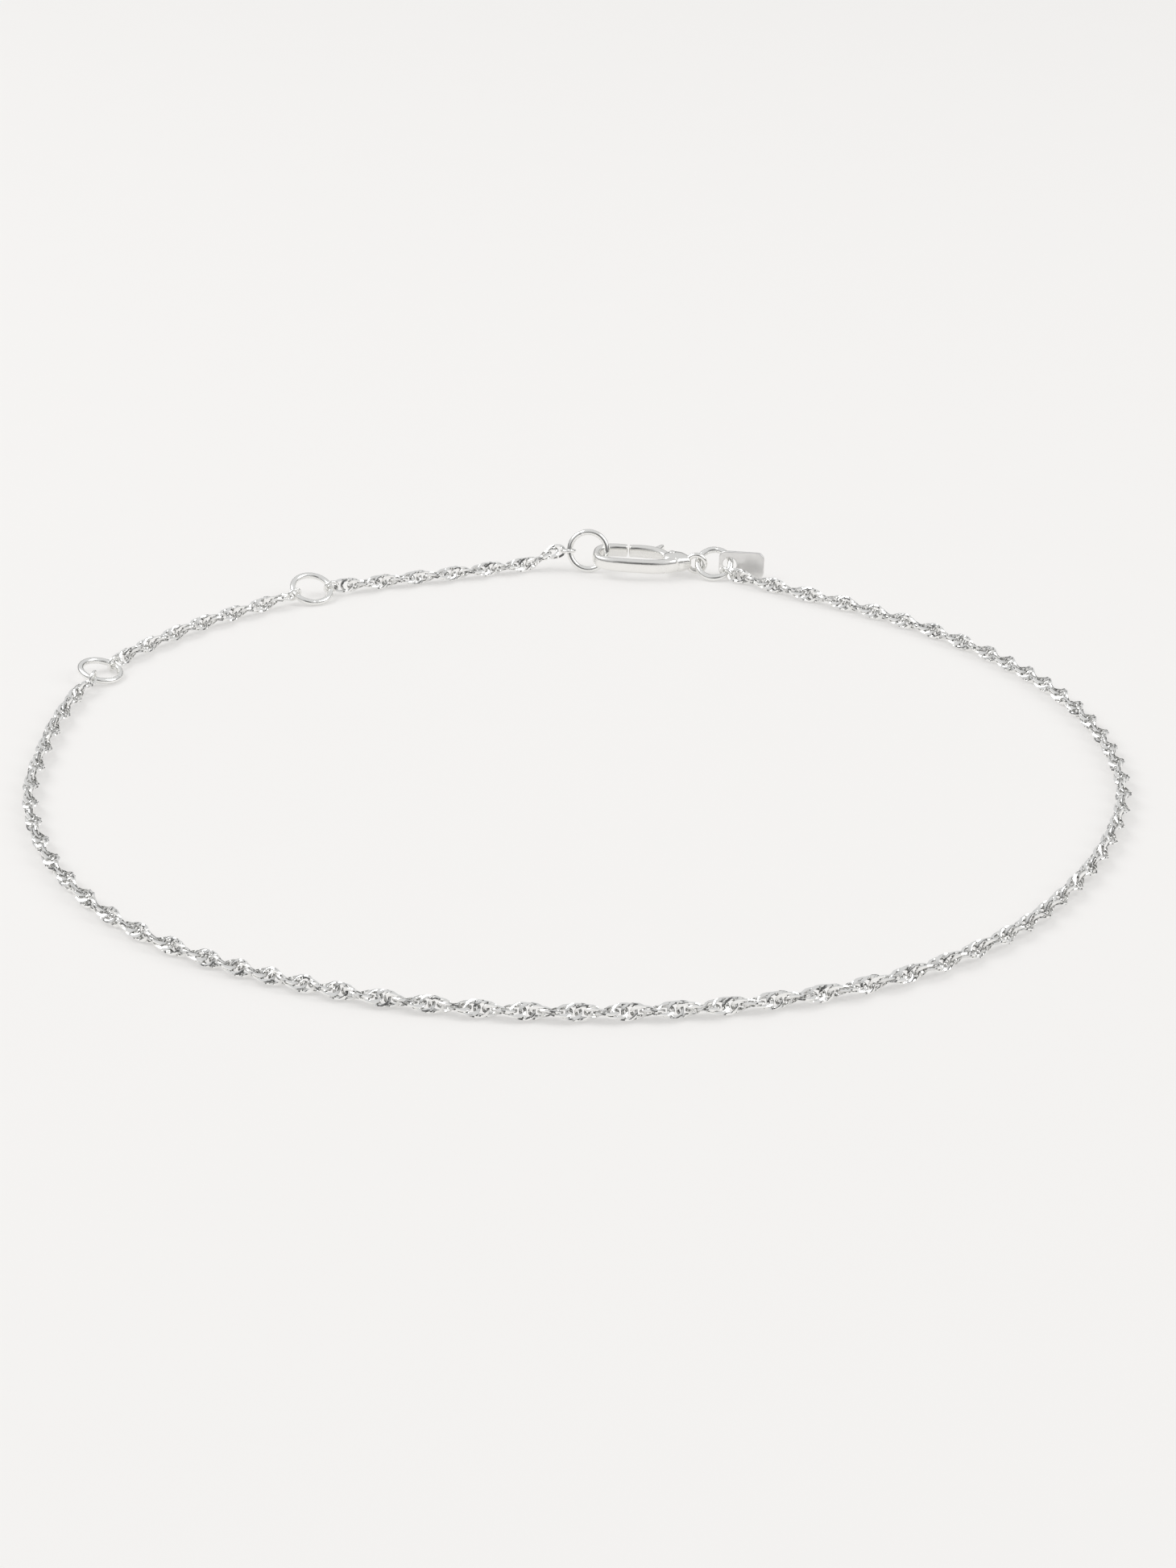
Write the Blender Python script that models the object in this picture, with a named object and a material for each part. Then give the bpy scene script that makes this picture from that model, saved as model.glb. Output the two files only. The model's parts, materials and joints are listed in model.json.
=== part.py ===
"""A silver chain anklet, closed, lying on a flat surface.

A twisted curb chain makes a loop round the ankle. Two short runs of the same chain, with plain
rings between them, let the wearer choose a shorter length. A lobster clasp hooks into the end
ring, and a jump ring joins the clasp, a small blank tag and the long chain.

Units are metres. +Z is up, and the clasp lies at the back, on the +Y side of the loop.
The chains are plain round tubes here: each has the outer form of the chain that it stands for.
"""

import math

import bmesh
import bpy
import numpy as np
from mathutils import Matrix, Vector

MM = 0.001

# Clearance between pieces that touch on the real anklet
GAP = 0.05 * MM

# The chain: its widest breadth across the twisted band, the spacing of the tube's points in
# widths, and the length over which an end comes down from its ring to the surface
CHAIN_WIDTH = 1.4 * MM
TUBE_STEP = 2.3
RISE_LENGTH = 3.2 * MM

# The rings of the extender, all alike, and how far each leans up from lying flat
RING_OUTER = 4.0 * MM
RING_WIRE = 0.55 * MM
RING_1_LEAN = math.radians(14)
RING_2_LEAN = math.radians(25)
END_RING_LEAN = math.radians(74)

# The jump ring, with the angle round it at which it holds the long chain
JUMP_RING_OUTER = 3.6 * MM
JUMP_RING_WIRE = 0.6 * MM
JUMP_RING_CHAIN_ANGLE = math.radians(-38)

# Small round links at the ends of the chains: their hole passes the thickest ring's wire
END_LINK_WIRE = 0.28 * MM
END_LINK_ROOM = 0.34 * MM
END_LINK_OUTER = max(RING_WIRE, JUMP_RING_WIRE) + END_LINK_ROOM + 2 * END_LINK_WIRE

# The clasp, measured from the outside of its nose to the outside of its eye
CLASP_LENGTH = 10.8 * MM
CLASP_WIDTH = 4.1 * MM
CLASP_THICKNESS = 1.6 * MM
CLASP_HEADING = math.radians(-6)
CLASP_ROLL = math.radians(3)
LEVER_THICKNESS = 0.7 * MM
LEVER_ROOT_RADIUS = 0.7 * MM
PIN_RADIUS = 0.28 * MM
PIN_PROUD = 0.05 * MM

# The clasp's eye, a wire loop that stands square to the clasp: its hole passes the jump ring,
# which props it up to this height above the surface
EYE_WIRE = 0.5 * MM
EYE_ROOM = 0.5 * MM
EYE_OUTER = JUMP_RING_WIRE + EYE_ROOM + 2 * EYE_WIRE
EYE_HEIGHT = 1.24 * MM

# Where the hook holds the end ring's wire: shares of the clasp's length and half width, and the
# angle round the ring
HOLD_X = 0.130
HOLD_Y = 0.117
HOLD_ANGLE = math.radians(-12)

# The tag, a plate that stands on its long edge and leans back: its hole passes the jump ring,
# whose wire is a little to the right of the hole's middle
TAG_LENGTH = 4.2 * MM
TAG_HEIGHT = 2.5 * MM
TAG_THICKNESS = 0.3 * MM
TAG_CORNER = 0.65 * MM
TAG_RIM = 0.35 * MM
TAG_HOLE_ROOM = 0.7 * MM
TAG_HOLE_RADIUS = (JUMP_RING_WIRE + TAG_HOLE_ROOM) / 2
TAG_SLIDE = 0.07 * MM
TAG_HEADING = math.radians(-11)
TAG_LEAN = math.radians(87)

# Metals: colour and roughness
BRIGHT_SILVER = ((0.90, 0.89, 0.87), 0.12)
CHAIN_SILVER = ((0.88, 0.87, 0.85), 0.18)

# The loop's mean radius, and its route seen from above: bearing in degrees and distance from the
# loop's middle as a share of that radius. The points go from the end ring leftwards, round the
# front and up the right side to the jump ring.
LOOP_RADIUS = 44.0 * MM
LOOP_ROUTE = [
    (88.7, 0.9745),
    (96.0, 0.9750),
    (105.5, 0.9523),
    (114.5, 0.9591),
    (124.0, 0.9795),
    (132.0, 0.9818),
    (140.0, 0.9932),
    (149.0, 1.0045),
    (156.8, 1.0136),
    (166.0, 1.0000),
    (176.0, 0.9909),
    (190.0, 1.0023),
    (203.5, 1.0114),
    (215.5, 1.0182),
    (225.0, 1.0182),
    (233.5, 1.0091),
    (242.5, 1.0000),
    (252.0, 0.9955),
    (261.5, 0.9932),
    (270.0, 0.9932),
    (279.0, 0.9977),
    (287.5, 1.0045),
    (297.0, 1.0159),
    (306.5, 1.0205),
    (316.0, 1.0182),
    (325.0, 1.0091),
    (336.5, 1.0023),
    (350.0, 1.0000),
    (364.0, 0.9841),
    (377.0, 0.9659),
    (389.0, 0.9455),
    (399.5, 0.9318),
    (408.0, 0.9250),
    (415.0, 0.9250),
    (421.0, 0.9295),
]
RING_2_POINT = 4
RING_1_POINT = 8

# The hook of the clasp: x as a share of the clasp's length from its nose, y as a share of half its
# width, breadth as a share of half its width, thickness as a share of the pivot block's thickness
HOOK_SECTIONS = [
    (0.750, -0.20, 0.50, 0.84),
    (0.670, -0.52, 0.46, 0.84),
    (0.560, -0.72, 0.42, 0.82),
    (0.430, -0.79, 0.40, 0.80),
    (0.300, -0.80, 0.39, 0.80),
    (0.190, -0.77, 0.38, 0.78),
    (0.100, -0.63, 0.37, 0.75),
    (0.056, -0.34, 0.36, 0.73),
    (0.048, 0.00, 0.36, 0.72),
    (0.056, 0.34, 0.36, 0.73),
    (0.100, 0.63, 0.37, 0.75),
    (0.190, 0.77, 0.36, 0.76),
    (0.292, 0.79, 0.34, 0.75),
]

# The block round the pivot: x, y, half breadth and thickness as shares of the same sizes
BLOCK_SECTIONS = [
    (0.640, -0.34, 0.20, 0.55),
    (0.665, -0.22, 0.44, 0.88),
    (0.700, -0.06, 0.60, 0.98),
    (0.745, 0.00, 0.58, 1.00),
    (0.790, 0.00, 0.44, 0.94),
    (0.825, 0.00, 0.29, 0.80),
    (0.850, 0.00, 0.19, 0.56),
]

# The lever: x, y and breadth as shares of the clasp's length, half width and half width, and
# thickness as a share of the lever's own
LEVER_SECTIONS = [
    (0.690, 0.22, 0.44, 1.00),
    (0.635, 0.55, 0.42, 1.00),
    (0.570, 0.74, 0.38, 1.48),
    (0.480, 0.82, 0.36, 1.70),
    (0.390, 0.84, 0.35, 1.70),
    (0.322, 0.79, 0.33, 1.66),
]
TAB_SECTIONS = [
    (0.530, 0.80, 0.30, 1.20),
    (0.565, 1.06, 0.28, 1.30),
    (0.592, 1.32, 0.20, 1.20),
]
PIVOT_X = 0.690
PIVOT_Y = 0.22

# How square a section is: 1 gives an ellipse, and less gives a rounded box
SECTION_POWER = 0.8

# Facets
TUBE_SIDES = 8
RING_SIDES = 28
WIRE_SIDES = 8
LINK_SIDES = 16
LINK_WIRE_SIDES = 6
SECTION_SIDES = 12
SECTION_STEPS = 3
PIN_SIDES = 20
CORNER_STEPS = 6
ROUTE_STEPS = 12
SHARP_ANGLE = math.radians(40)

# A cutter's length, in thicknesses of what it cuts
CUTTER_REACH = 2

UP = Vector((0, 0, 1))


def clear_scene():
    for old in list(bpy.data.objects):
        bpy.data.objects.remove(old, do_unlink=True)


def metal(name, colour, roughness):
    material = bpy.data.materials.new(name)
    material.use_nodes = True
    shader = material.node_tree.nodes["Principled BSDF"]
    shader.inputs["Base Color"].default_value = (*colour, 1.0)
    shader.inputs["Metallic"].default_value = 1.0
    shader.inputs["Roughness"].default_value = roughness
    return material


def mesh_object(name, verts, faces, material):
    mesh = bpy.data.meshes.new(name)
    mesh.from_pydata([tuple(v) for v in verts], [], faces)
    mesh.materials.append(material)
    piece = bpy.data.objects.new(name, mesh)
    bpy.context.collection.objects.link(piece)
    point_outwards(piece)
    return piece


def point_outwards(piece):
    shape = bmesh.new()
    shape.from_mesh(piece.data)
    bmesh.ops.recalc_face_normals(shape, faces=shape.faces)
    shape.to_mesh(piece.data)
    shape.free()
    piece.data.shade_smooth()
    piece.data.set_sharp_from_angle(angle=SHARP_ANGLE)


def frame_matrix(origin, x_axis, y_axis):
    """The placing matrix of a piece whose own x and y axes point along two given directions."""
    x_axis = x_axis.normalized()
    z_axis = x_axis.cross(y_axis).normalized()
    y_axis = z_axis.cross(x_axis)
    turn = Matrix((x_axis, y_axis, z_axis)).transposed()
    return Matrix.Translation(origin) @ turn.to_4x4()


def grid_faces(rows, columns, close_rows):
    """Quads between neighbouring rows of a grid whose columns close on themselves."""
    faces = []
    last = rows if close_rows else rows - 1
    for i in range(last):
        for j in range(columns):
            a = i * columns + j
            b = i * columns + (j + 1) % columns
            c = ((i + 1) % rows) * columns + (j + 1) % columns
            d = ((i + 1) % rows) * columns + j
            faces.append((a, b, c, d))
    return faces


def wire_ring(name, outer, wire, sides, wire_sides, material):
    """A ring of round wire about its own z axis."""
    middle = (outer - wire) / 2
    verts = []
    for i in range(sides):
        turn = 2 * math.pi * i / sides
        for j in range(wire_sides):
            around = 2 * math.pi * (j + 0.5) / wire_sides
            reach = middle + wire / 2 * math.cos(around)
            verts.append((reach * math.cos(turn), reach * math.sin(turn), wire / 2 * math.sin(around)))
    return mesh_object(name, verts, grid_faces(sides, wire_sides, True), material)


def smooth_path(points, steps):
    """Catmull-Rom curve through points, with its ends carried straight on."""
    points = np.array(points, dtype=float)
    before = 2 * points[0] - points[1]
    after = 2 * points[-1] - points[-2]
    p = np.vstack([before, points, after])
    t = np.linspace(0, 1, steps, endpoint=False)[:, None]
    pieces = []
    for k in range(1, len(p) - 2):
        a, b, c, d = p[k - 1], p[k], p[k + 1], p[k + 2]
        pieces.append(0.5 * (2 * b + (c - a) * t + (2 * a - 5 * b + 4 * c - d) * t**2
                             + (3 * b - a - 3 * c + d) * t**3))
    pieces.append(points[-1:])
    return np.vstack(pieces)


def along(path, count):
    """Points at equal distances along a path."""
    reach = np.concatenate([[0], np.cumsum(np.linalg.norm(np.diff(path, axis=0), axis=1))])
    marks = np.linspace(0, reach[-1], count)
    return np.column_stack([np.interp(marks, reach, path[:, i]) for i in range(path.shape[1])])


def section_sweep(name, sections, material):
    """Rounded sections carried along a path that lies in the piece's own xy plane.

    Each section is (x, y, breadth, thickness). The path is smoothed, and each section stands
    square to it. A section is a rounded square: its points are pushed out from an ellipse.
    """
    path = smooth_path(sections, SECTION_STEPS)
    direction = np.gradient(path[:, :2], axis=0)
    direction /= np.linalg.norm(direction, axis=1)[:, None]
    verts = []
    for (x, y, breadth, thickness), (dx, dy) in zip(path, direction):
        for j in range(SECTION_SIDES):
            around = 2 * math.pi * (j + 0.5) / SECTION_SIDES
            c, s = math.cos(around), math.sin(around)
            across = breadth / 2 * math.copysign(abs(c) ** SECTION_POWER, c)
            up = thickness / 2 * math.copysign(abs(s) ** SECTION_POWER, s)
            verts.append((x - dy * across, y + dx * across, up))
    rows = len(path)
    faces = grid_faces(rows, SECTION_SIDES, False)
    faces.append(tuple(range(SECTION_SIDES)))
    faces.append(tuple(range((rows - 1) * SECTION_SIDES, rows * SECTION_SIDES)))
    return mesh_object(name, verts, faces, material)


def cylinder(name, x, y, radius, height, material):
    """A round plug about its own z axis, centred at height zero."""
    verts = []
    for z in (-height / 2, height / 2):
        for i in range(PIN_SIDES):
            turn = 2 * math.pi * i / PIN_SIDES
            verts.append((x + radius * math.cos(turn), y + radius * math.sin(turn), z))
    faces = grid_faces(2, PIN_SIDES, False)
    faces.append(tuple(range(PIN_SIDES)))
    faces.append(tuple(range(PIN_SIDES, 2 * PIN_SIDES)))
    return mesh_object(name, verts, faces, material)


def block(name, low, high, material):
    verts = [(x, y, z) for x in (low[0], high[0]) for y in (low[1], high[1]) for z in (low[2], high[2])]
    faces = [(0, 1, 3, 2), (4, 6, 7, 5), (0, 4, 5, 1), (2, 3, 7, 6), (0, 2, 6, 4), (1, 5, 7, 3)]
    return mesh_object(name, verts, faces, material)


def combine(piece, other, operation):
    """Join or cut two pieces for good, and remove the second."""
    step = piece.modifiers.new(operation, "BOOLEAN")
    step.operation = operation
    step.solver = "EXACT"
    step.object = other
    bpy.context.view_layer.update()
    graph = bpy.context.evaluated_depsgraph_get()
    result = bpy.data.meshes.new_from_object(piece.evaluated_get(graph))
    piece.modifiers.clear()
    piece.data = result
    bpy.data.objects.remove(other, do_unlink=True)
    piece.data.shade_smooth()
    piece.data.set_sharp_from_angle(angle=SHARP_ANGLE)


def clasp_shares(rows, thickness):
    """A table of shares as lengths on the clasp."""
    half = CLASP_WIDTH / 2
    return [(x * CLASP_LENGTH, y * half, b * half, t * thickness) for x, y, b, t in rows]


def clasp_body(material):
    """Hook, pivot block with its slot, and eye, as one casting."""
    body = section_sweep("clasp_body", clasp_shares(HOOK_SECTIONS, CLASP_THICKNESS), material)
    rows = [(x, y, 2 * b, t) for x, y, b, t in BLOCK_SECTIONS]
    combine(body, section_sweep("pivot_block", clasp_shares(rows, CLASP_THICKNESS), material), "UNION")
    eye = wire_ring("eye", EYE_OUTER, EYE_WIRE, RING_SIDES, WIRE_SIDES, material)
    eye.data.transform(Matrix.Rotation(math.radians(90), 4, "X"))
    eye.data.transform(Matrix.Translation((CLASP_LENGTH - EYE_OUTER / 2, 0, 0)))
    combine(body, eye, "UNION")
    pivot_x, pivot_y = pivot_place()
    reach = LEVER_ROOT_RADIUS + GAP
    half_slot = LEVER_THICKNESS / 2 + GAP
    slot = block("slot", (pivot_x - CLASP_WIDTH / 2, pivot_y - reach, -half_slot),
                 (pivot_x + reach, CLASP_WIDTH, half_slot), material)
    combine(body, slot, "DIFFERENCE")
    hole = cylinder("pin_hole", pivot_x, pivot_y, PIN_RADIUS + GAP,
                    CUTTER_REACH * CLASP_THICKNESS, material)
    combine(body, hole, "DIFFERENCE")
    return body


def pivot_place():
    return PIVOT_X * CLASP_LENGTH, PIVOT_Y * CLASP_WIDTH / 2


def clasp_lever(material):
    """Bar, round root and thumb tab, with the piece's origin on the pivot's axis."""
    pivot_x, pivot_y = pivot_place()
    lever = section_sweep("clasp_lever", clasp_shares(LEVER_SECTIONS, LEVER_THICKNESS), material)
    tab = section_sweep("tab", clasp_shares(TAB_SECTIONS, LEVER_THICKNESS), material)
    combine(lever, tab, "UNION")
    root = cylinder("root", pivot_x, pivot_y, LEVER_ROOT_RADIUS, LEVER_THICKNESS, material)
    combine(lever, root, "UNION")
    hole = cylinder("root_hole", pivot_x, pivot_y, PIN_RADIUS + GAP,
                    CUTTER_REACH * LEVER_THICKNESS, material)
    combine(lever, hole, "DIFFERENCE")
    lever.data.transform(Matrix.Translation((-pivot_x, -pivot_y, 0)))
    return lever


def clasp_pin(material):
    pivot_x, pivot_y = pivot_place()
    return cylinder("clasp_pin", pivot_x, pivot_y, PIN_RADIUS, CLASP_THICKNESS + 2 * PIN_PROUD, material)


def tag_plate(material):
    """A plate in its own xz plane with rounded corners, its hole at the origin."""
    left = -TAG_HOLE_RADIUS - TAG_RIM
    right = TAG_LENGTH + left
    half = TAG_HEIGHT / 2
    corner = TAG_CORNER
    middles = [(right - corner, half - corner), (left + corner, half - corner),
               (left + corner, corner - half), (right - corner, corner - half)]
    outline = []
    for quarter, (x, z) in enumerate(middles):
        for k in range(CORNER_STEPS + 1):
            turn = math.pi / 2 * (quarter + k / CORNER_STEPS)
            outline.append((x + corner * math.cos(turn), z + corner * math.sin(turn)))
    verts = [(x, side * TAG_THICKNESS / 2, z) for side in (-1, 1) for x, z in outline]
    faces = grid_faces(2, len(outline), False)
    faces.append(tuple(range(len(outline))))
    faces.append(tuple(range(len(outline), 2 * len(outline))))
    tag = mesh_object("tag", verts, faces, material)
    hole = cylinder("tag_hole", 0, 0, TAG_HOLE_RADIUS, CUTTER_REACH * TAG_THICKNESS, material)
    hole.data.transform(Matrix.Rotation(math.radians(90), 4, "X"))
    combine(tag, hole, "DIFFERENCE")
    return tag


def heading_vector(heading):
    return Vector((math.cos(heading), math.sin(heading), 0))


def route_point(index):
    bearing, distance = LOOP_ROUTE[index]
    return heading_vector(math.radians(bearing)) * distance * LOOP_RADIUS


def chain_heading(index):
    """Heading of the route at one of its points, back towards its start."""
    run = route_point(index - 1) - route_point(index + 1)
    return math.atan2(run.y, run.x)


def on_ring(ring, radius, angle):
    """A point on the middle line of a ring's wire."""
    return ring.matrix_world @ (heading_vector(angle) * radius)


def leaning_ring(name, middle, heading, lean, outer, wire, material):
    """A ring whose outer edge is raised, turning about the line along its heading."""
    ring = wire_ring(name, outer, wire, RING_SIDES, WIRE_SIDES, material)
    along_axis = heading_vector(heading)
    outwards = UP.cross(along_axis)
    raised = outwards * math.cos(lean) + UP * math.sin(lean)
    ring.matrix_world = frame_matrix(middle, along_axis, raised)
    return ring


def end_link(name, ring, middle_radius, ring_wire, direction, material):
    """A small link round a ring's wire, on the side that direction points to.

    Returns the point just past the link where the chain's body starts.
    """
    centre = ring.matrix_world.translation
    normal = ring.matrix_world.col[2].to_3d()
    flat = (direction - direction.dot(normal) * normal).normalized()
    crossing = centre + flat * middle_radius
    wire_run = normal.cross(flat)
    link_radius = (END_LINK_OUTER - END_LINK_WIRE) / 2
    slack = link_radius - END_LINK_WIRE / 2 - ring_wire / 2 - GAP
    rise = link_radius * math.sqrt(1 - wire_run.z**2) + END_LINK_WIRE / 2
    drop = min(flat.z, 0) * slack
    lift = max(0, min(rise - crossing.z - drop, slack))
    pull = math.sqrt(slack**2 - lift**2)
    middle = crossing + flat * pull + UP * lift
    link = wire_ring(name, END_LINK_OUTER, END_LINK_WIRE, LINK_SIDES, LINK_WIRE_SIDES, material)
    link.matrix_world = frame_matrix(middle, flat, normal)
    return middle + flat * (END_LINK_OUTER / 2 + GAP)


def chain_tube(name, start, route, finish, material):
    """The chain's outer form: a tube from one end link to the next along the route."""
    flat_route = [(start.x, start.y)]
    flat_route += [(p.x, p.y) for p in route]
    flat_route.append((finish.x, finish.y))
    path = smooth_path(flat_route, ROUTE_STEPS)
    reach = np.concatenate([[0], np.cumsum(np.linalg.norm(np.diff(path, axis=0), axis=1))])
    count = round(reach[-1] / (TUBE_STEP * CHAIN_WIDTH))
    points = along(np.column_stack([path, reach]), count)
    length = reach[-1]
    rest = CHAIN_WIDTH / 2
    curve = bpy.data.curves.new(name, "CURVE")
    curve.dimensions = "3D"
    curve.twist_mode = "Z_UP"
    curve.bevel_depth = rest / math.cos(math.pi / TUBE_SIDES)
    curve.bevel_resolution = (TUBE_SIDES - 4) // 2
    curve.use_fill_caps = True
    spline = curve.splines.new("POLY")
    spline.points.add(len(points) - 1)
    for point, (x, y, run) in zip(spline.points, points):
        from_start = ease(1 - run / RISE_LENGTH)
        from_finish = ease(1 - (length - run) / RISE_LENGTH)
        z = rest + max(0, start.z - rest) * from_start + max(0, finish.z - rest) * from_finish
        point.co = (x, y, z, 1)
        point.tilt = math.pi / TUBE_SIDES
    curve.materials.append(material)
    tube = bpy.data.objects.new(name, curve)
    bpy.context.collection.objects.link(tube)
    return tube


def ease(share):
    """Smooth step from 0 to 1."""
    share = min(max(share, 0), 1)
    return share * share * (3 - 2 * share)


def stand_on_origin():
    """Hang every piece on one empty, and set the empty so that the bottom's middle is the origin."""
    pieces = list(bpy.data.objects)
    bpy.context.view_layer.update()
    graph = bpy.context.evaluated_depsgraph_get()
    corners = []
    for piece in pieces:
        shape = piece.evaluated_get(graph)
        mesh = shape.to_mesh()
        flat = np.empty(3 * len(mesh.vertices))
        mesh.vertices.foreach_get("co", flat)
        turn = np.array(piece.matrix_world)
        spots = flat.reshape(-1, 3) @ turn[:3, :3].T + turn[:3, 3]
        corners += [spots.min(axis=0), spots.max(axis=0)]
        shape.to_mesh_clear()
    low = np.min(corners, axis=0)
    high = np.max(corners, axis=0)
    holder = bpy.data.objects.new("anklet", None)
    bpy.context.collection.objects.link(holder)
    for piece in pieces:
        if piece.parent is None:
            piece.parent = holder
    holder.location = (-(low[0] + high[0]) / 2, -(low[1] + high[1]) / 2, -low[2])


def place_rings(material):
    """The rings that the clasp can hook into. Each one's lowest point touches the surface."""
    radius = (RING_OUTER - RING_WIRE) / 2
    table = [
        ("end_ring", 0, CLASP_HEADING, END_RING_LEAN),
        ("extender_ring_2", RING_2_POINT, chain_heading(RING_2_POINT), RING_2_LEAN),
        ("extender_ring_1", RING_1_POINT, chain_heading(RING_1_POINT), RING_1_LEAN),
    ]
    rings = []
    for name, index, heading, lean in table:
        middle = route_point(index)
        middle.z = RING_WIRE / 2 + radius * math.sin(lean)
        rings.append(leaning_ring(name, middle, heading, lean, RING_OUTER, RING_WIRE, material))
    return rings


def place_clasp(end_ring, material):
    """The clasp with the end ring's wire in its hook and its eye at the height of the jump ring.

    Returns the middle of the eye.
    """
    held = on_ring(end_ring, (RING_OUTER - RING_WIRE) / 2, HOLD_ANGLE)
    hold_place = Vector((HOLD_X * CLASP_LENGTH, HOLD_Y * CLASP_WIDTH / 2, 0))
    eye_place = Vector((CLASP_LENGTH - EYE_OUTER / 2, 0, 0))
    droop = math.asin((held.z - EYE_HEIGHT) / (eye_place.x - hold_place.x))
    along_clasp = heading_vector(CLASP_HEADING) * math.cos(droop) - UP * math.sin(droop)
    level = UP.cross(along_clasp).normalized()
    across = Matrix.Rotation(CLASP_ROLL, 3, along_clasp) @ level
    turned = frame_matrix(Vector((0, 0, 0)), along_clasp, across)
    place = Matrix.Translation(held - turned @ hold_place) @ turned
    clasp_body(material).matrix_world = place
    clasp_pin(material).matrix_world = place
    clasp_lever(material).matrix_world = place @ Matrix.Translation((*pivot_place(), 0))
    return place @ eye_place


def place_jump_ring(eye_middle, material):
    """The jump ring, pulled tight in the clasp's eye. It leans until it touches the surface.

    Its wire crosses the eye at a slant, which leaves it less slack.
    """
    radius = (JUMP_RING_OUTER - JUMP_RING_WIRE) / 2
    lean = math.asin(min(1, (eye_middle.z - JUMP_RING_WIRE / 2) / radius))
    slack = (EYE_OUTER / 2 - EYE_WIRE - JUMP_RING_WIRE / 2 - GAP) * math.cos(lean)
    middle = eye_middle + heading_vector(CLASP_HEADING) * (slack + radius)
    return leaning_ring("jump_ring", middle, CLASP_HEADING, lean, JUMP_RING_OUTER, JUMP_RING_WIRE, material)


def place_tag(jump_ring, material):
    """The tag, standing on its long edge. The jump ring's wire passes its hole at that height."""
    radius = (JUMP_RING_OUTER - JUMP_RING_WIRE) / 2
    hole_height = (TAG_HEIGHT * math.sin(TAG_LEAN) + TAG_THICKNESS * math.cos(TAG_LEAN)) / 2
    middle = jump_ring.matrix_world.translation
    steepness = jump_ring.matrix_world.col[1].z
    angle = math.asin(min(1, (hole_height - middle.z) / (radius * steepness)))
    tag_run = heading_vector(TAG_HEADING)
    tag_up = UP.cross(tag_run) * math.cos(TAG_LEAN) + UP * math.sin(TAG_LEAN)
    held = on_ring(jump_ring, radius, angle) - tag_run * TAG_SLIDE
    tag_plate(material).matrix_world = frame_matrix(held, tag_run, tag_up.cross(tag_run))


def link_and_chain(ends, name, first, last, material):
    """One run of chain: an end link on the ring at each end, and the tube between them.

    Each end is (link name, ring, the ring's middle radius, the ring's wire, way that it leaves).
    """
    start, finish = [end_link(*end, material) for end in ends]
    route = [route_point(i) for i in range(first, last)]
    chain_tube(name, start, route, finish, material)


def towards(ring, index):
    """The level direction from a ring to a point of the route."""
    step = route_point(index) - ring.matrix_world.translation
    step.z = 0
    return step.normalized()


def build():
    clear_scene()
    bright = metal("bright_silver", *BRIGHT_SILVER)
    chain = metal("chain_silver", *CHAIN_SILVER)
    end_ring, ring_2, ring_1 = place_rings(bright)
    eye_middle = place_clasp(end_ring, bright)
    jump_ring = place_jump_ring(eye_middle, bright)
    place_tag(jump_ring, bright)

    radius = (RING_OUTER - RING_WIRE) / 2
    jump_radius = (JUMP_RING_OUTER - JUMP_RING_WIRE) / 2
    leave = jump_ring.matrix_world.to_3x3() @ heading_vector(JUMP_RING_CHAIN_ANGLE)
    link_and_chain([
        ("end_link_b_end", end_ring, radius, RING_WIRE, towards(end_ring, 1)),
        ("end_link_b_start", ring_2, radius, RING_WIRE, towards(ring_2, RING_2_POINT - 1)),
    ], "chain_extender_b", 1, RING_2_POINT, chain)
    link_and_chain([
        ("end_link_a_end", ring_2, radius, RING_WIRE, towards(ring_2, RING_2_POINT + 1)),
        ("end_link_a_start", ring_1, radius, RING_WIRE, towards(ring_1, RING_1_POINT - 1)),
    ], "chain_extender_a", RING_2_POINT + 1, RING_1_POINT, chain)
    link_and_chain([
        ("end_link_main_ring", ring_1, radius, RING_WIRE, towards(ring_1, RING_1_POINT + 1)),
        ("end_link_main_clasp", jump_ring, jump_radius, JUMP_RING_WIRE, leave),
    ], "chain_main", RING_1_POINT + 1, len(LOOP_ROUTE), chain)
    stand_on_origin()


build()
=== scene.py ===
# %% [markdown]
# # A silver chain anklet
# The real object is a thin twisted chain that closes round the ankle. A lobster clasp hooks into
# one of three rings, and a small blank tag hangs beside the clasp. This lesson dresses the plain
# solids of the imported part: the chains get their real interlocked links, and the rings, clasp and
# tag get round, polished surfaces. All lengths below are in millimetres, because the whole loop
# is under 90 mm wide, and they become metres only when a mesh is made.

# %% Load the frame
import json
import math

import bmesh
import bpy
import numpy as np
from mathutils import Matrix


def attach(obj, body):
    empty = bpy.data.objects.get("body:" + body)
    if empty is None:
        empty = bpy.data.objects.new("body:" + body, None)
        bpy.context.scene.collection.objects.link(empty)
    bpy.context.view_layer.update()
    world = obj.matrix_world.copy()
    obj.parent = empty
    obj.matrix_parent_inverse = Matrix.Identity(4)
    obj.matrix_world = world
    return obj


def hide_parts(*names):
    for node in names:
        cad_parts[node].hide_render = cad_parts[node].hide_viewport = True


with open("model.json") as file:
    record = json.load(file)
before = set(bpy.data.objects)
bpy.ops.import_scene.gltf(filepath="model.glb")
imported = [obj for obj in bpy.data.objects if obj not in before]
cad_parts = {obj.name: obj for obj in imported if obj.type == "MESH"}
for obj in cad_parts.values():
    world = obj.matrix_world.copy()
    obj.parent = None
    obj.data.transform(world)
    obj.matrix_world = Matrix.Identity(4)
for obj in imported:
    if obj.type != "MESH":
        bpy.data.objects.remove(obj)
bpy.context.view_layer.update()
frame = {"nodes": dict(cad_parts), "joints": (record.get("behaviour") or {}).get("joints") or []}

MM = 0.001

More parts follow.
